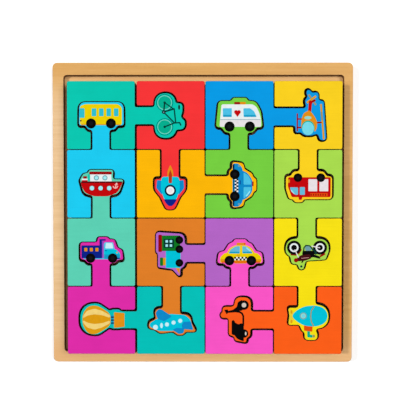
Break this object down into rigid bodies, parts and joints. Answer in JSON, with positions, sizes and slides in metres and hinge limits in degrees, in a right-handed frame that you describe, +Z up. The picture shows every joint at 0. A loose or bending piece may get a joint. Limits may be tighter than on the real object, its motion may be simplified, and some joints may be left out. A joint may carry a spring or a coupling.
{
  "type": "wooden block puzzle",
  "caption": "Shallow square plywood tray of loose painted blocks that interlock by vehicle-shaped tabs and sockets; each block lifts straight out of the tray.",
  "frame": {"origin": "middle of the tray's underside", "axes": "+X to the right and +Y to the back of the tray as it is looked at from above, +Z up out of the tray"},
  "size_m": [0.225, 0.225, 0.0133],
  "materials": {
    "base_wood": "raw plywood, sanded",
    "frame_wood": "clear lacquered plywood",
    "bicycle_paint": "satin teal paint over wood, with a printed vehicle on the tab",
    "rocket_paint": "satin red paint over wood, with a printed vehicle on the tab",
    "helicopter_paint": "satin blue paint over wood, with a printed vehicle on the tab",
    "fire_engine_paint": "satin golden yellow paint over wood, with a printed vehicle on the tab",
    "bus_paint": "satin cyan paint over wood, with a printed vehicle on the tab",
    "police_car_paint": "satin amber paint over wood, with a printed vehicle on the tab",
    "ambulance_paint": "satin green paint over wood, with a printed vehicle on the tab",
    "motorcycle_paint": "satin lime paint over wood, with a printed vehicle on the tab",
    "ship_paint": "satin mint paint over wood, with a printed vehicle on the tab",
    "aeroplane_paint": "satin orange paint over wood, with a printed vehicle on the tab",
    "train_paint": "satin purple paint over wood, with a printed vehicle on the tab",
    "submarine_paint": "satin lemon yellow paint over wood, with a printed vehicle on the tab",
    "lorry_paint": "satin magenta paint over wood, with a printed vehicle on the tab",
    "balloon_paint": "satin turquoise paint over wood, with a printed vehicle on the tab",
    "taxi_paint": "satin pink paint over wood, with a printed vehicle on the tab",
    "scooter_paint": "satin orange red paint over wood, with a printed vehicle on the tab"
  },
  "bodies": {
    "tray": {"tray_base": "base_wood", "tray_frame": "frame_wood"},
    "bicycle": {"block_bicycle": "bicycle_paint"},
    "rocket": {"block_rocket": "rocket_paint"},
    "helicopter": {"block_helicopter": "helicopter_paint"},
    "fire_engine": {"block_fire_engine": "fire_engine_paint"},
    "bus": {"block_bus": "bus_paint"},
    "police_car": {"block_police_car": "police_car_paint"},
    "ambulance": {"block_ambulance": "ambulance_paint"},
    "motorcycle": {"block_motorcycle": "motorcycle_paint"},
    "ship": {"block_ship": "ship_paint"},
    "aeroplane": {"block_aeroplane": "aeroplane_paint"},
    "train": {"block_train": "train_paint"},
    "submarine": {"block_submarine": "submarine_paint"},
    "lorry": {"block_lorry": "lorry_paint"},
    "balloon": {"block_balloon": "balloon_paint"},
    "taxi": {"block_taxi": "taxi_paint"},
    "scooter": {"block_scooter": "scooter_paint"}
  },
  "joints": [
    {"name": "lift_bicycle", "type": "slide", "parent": "tray", "child": "bicycle", "axis": [0, 0, 1], "range_m": [0, 0.02]},
    {"name": "lift_rocket", "type": "slide", "parent": "tray", "child": "rocket", "axis": [0, 0, 1], "range_m": [0, 0.02]},
    {"name": "lift_helicopter", "type": "slide", "parent": "tray", "child": "helicopter", "axis": [0, 0, 1], "range_m": [0, 0.02]},
    {"name": "lift_fire_engine", "type": "slide", "parent": "tray", "child": "fire_engine", "axis": [0, 0, 1], "range_m": [0, 0.02]},
    {"name": "lift_bus", "type": "slide", "parent": "tray", "child": "bus", "axis": [0, 0, 1], "range_m": [0, 0.02]},
    {"name": "lift_police_car", "type": "slide", "parent": "tray", "child": "police_car", "axis": [0, 0, 1], "range_m": [0, 0.02]},
    {"name": "lift_ambulance", "type": "slide", "parent": "tray", "child": "ambulance", "axis": [0, 0, 1], "range_m": [0, 0.02]},
    {"name": "lift_motorcycle", "type": "slide", "parent": "tray", "child": "motorcycle", "axis": [0, 0, 1], "range_m": [0, 0.02]},
    {"name": "lift_ship", "type": "slide", "parent": "tray", "child": "ship", "axis": [0, 0, 1], "range_m": [0, 0.02]},
    {"name": "lift_aeroplane", "type": "slide", "parent": "tray", "child": "aeroplane", "axis": [0, 0, 1], "range_m": [0, 0.02]},
    {"name": "lift_train", "type": "slide", "parent": "tray", "child": "train", "axis": [0, 0, 1], "range_m": [0, 0.02]},
    {"name": "lift_submarine", "type": "slide", "parent": "tray", "child": "submarine", "axis": [0, 0, 1], "range_m": [0, 0.02]},
    {"name": "lift_lorry", "type": "slide", "parent": "tray", "child": "lorry", "axis": [0, 0, 1], "range_m": [0, 0.02]},
    {"name": "lift_balloon", "type": "slide", "parent": "tray", "child": "balloon", "axis": [0, 0, 1], "range_m": [0, 0.02]},
    {"name": "lift_taxi", "type": "slide", "parent": "tray", "child": "taxi", "axis": [0, 0, 1], "range_m": [0, 0.02]},
    {"name": "lift_scooter", "type": "slide", "parent": "tray", "child": "scooter", "axis": [0, 0, 1], "range_m": [0, 0.02]}
  ]
}
